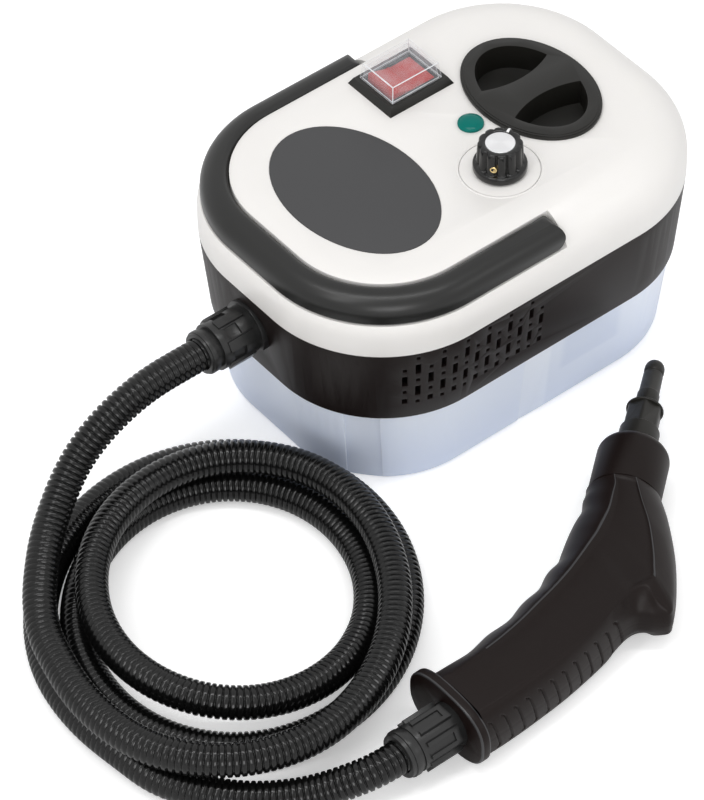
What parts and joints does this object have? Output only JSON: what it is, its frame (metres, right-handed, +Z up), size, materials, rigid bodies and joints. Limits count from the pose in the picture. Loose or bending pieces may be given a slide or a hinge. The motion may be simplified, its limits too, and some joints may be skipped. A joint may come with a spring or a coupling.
{
  "type": "steam cleaner",
  "caption": "Portable steam cleaner: rounded tank unit with folding carry handle, rocker switch, knob and oval filler cap, coiled ribbed hose and pistol-grip steam gun.",
  "frame": {"origin": "on the floor under the middle of the tank unit", "axes": "+X towards the filler end of the unit, -X towards its hose, -Y towards the vented side and the gun, +Z up"},
  "size_m": [0.4088, 0.3251, 0.1421],
  "materials": {
    "tank_plastic": "translucent bluish white, satin",
    "zinc_steel": "zinc plated",
    "foot_rubber": "matt",
    "housing_black": "fine satin",
    "gland_rubber": "matt",
    "cover_white": "soft gloss",
    "neck_plastic": "natural",
    "cap_black": "gloss",
    "seal_rubber": "matt",
    "handle_black": "soft gloss",
    "pin_steel": "bright",
    "plate_grey": "printed film, satin",
    "rocker_red": "lighted, translucent",
    "boot_clear": "clear soft plastic",
    "lens_green": "translucent",
    "control_body": "phenolic",
    "knob_black": "phenolic",
    "disc_aluminium": "brushed in circles",
    "screw_brass": "bright",
    "boiler_cast": "as cast",
    "pump_body": "moulded coil",
    "board_green": "printed circuit board",
    "tube_silicone": "silicone",
    "fitting_grey": "satin",
    "fitting_black": "soft gloss",
    "hose_black": "gloss corrugated tube",
    "gun_black": "fine texture"
  },
  "bodies": {
    "unit": {"water_tank": "tank_plastic", "tank_screws": "zinc_steel", "rubber_feet": "foot_rubber", "middle_housing": "housing_black", "cable_gland": "gland_rubber", "top_cover": "cover_white", "cover_screws": "zinc_steel", "filler_neck": "neck_plastic", "handle_pins": "pin_steel", "rating_plate": "plate_grey", "switch_housing": "cap_black", "switch_boot": "boot_clear", "lamp_lens": "lens_green", "lamp_body": "neck_plastic", "power_control": "control_body", "boiler": "boiler_cast", "heating_element": "pin_steel", "thermostat": "control_body", "thermal_cutout": "control_body", "pump": "pump_body", "pump_bracket": "zinc_steel", "control_board": "board_green", "suction_tube": "tube_silicone", "suction_filter": "neck_plastic", "delivery_tube": "tube_silicone", "steam_tube": "pin_steel", "hose_flange": "fitting_grey", "hose_nut": "fitting_grey", "hose_ring": "fitting_black", "hose_lead": "hose_black", "hose_coil": "hose_black", "hose_tail": "hose_black"},
    "handle": {"carry_handle": "handle_black"},
    "cap": {"filler_cap": "cap_black", "cap_gasket": "seal_rubber"},
    "rocker": {"switch_rocker": "rocker_red"},
    "knob": {"control_knob": "knob_black", "knob_disc": "disc_aluminium", "knob_screw": "screw_brass", "knob_shaft": "pin_steel"},
    "gun": {"gun_connector": "fitting_grey", "gun_ring": "fitting_black", "gun_half_lower": "gun_black", "gun_half_upper": "gun_black", "gun_end_cap": "gun_black", "gun_pipe": "pin_steel", "gun_collar": "gun_black", "gun_fitting": "fitting_black", "nozzle_tip": "fitting_black"}
  },
  "joints": [
    {"name": "handle_fold", "type": "hinge", "parent": "unit", "child": "handle", "pos_m": [0, 0, 0.1176], "axis": [0, 1, 0], "range_deg": [0, 90]},
    {"name": "cap_lift", "type": "slide", "parent": "unit", "child": "cap", "axis": [0, 0, 1], "range_m": [0, 0.05]},
    {"name": "rocker_tilt", "type": "hinge", "parent": "unit", "child": "rocker", "pos_m": [0.0095, 0.0428, 0.1264], "axis": [0, 1, 0], "range_deg": [-18, 0]},
    {"name": "knob_turn", "type": "hinge", "parent": "unit", "child": "knob", "pos_m": [0.0075, -0.032, 0.13], "axis": [0, 0, 1], "range_deg": [-150, 130]},
    {"name": "gun_lift", "type": "slide", "parent": "unit", "child": "gun", "axis": [0, 0, 1], "range_m": [0, 0.04], "deforming": ["hose_tail"]}
  ]
}
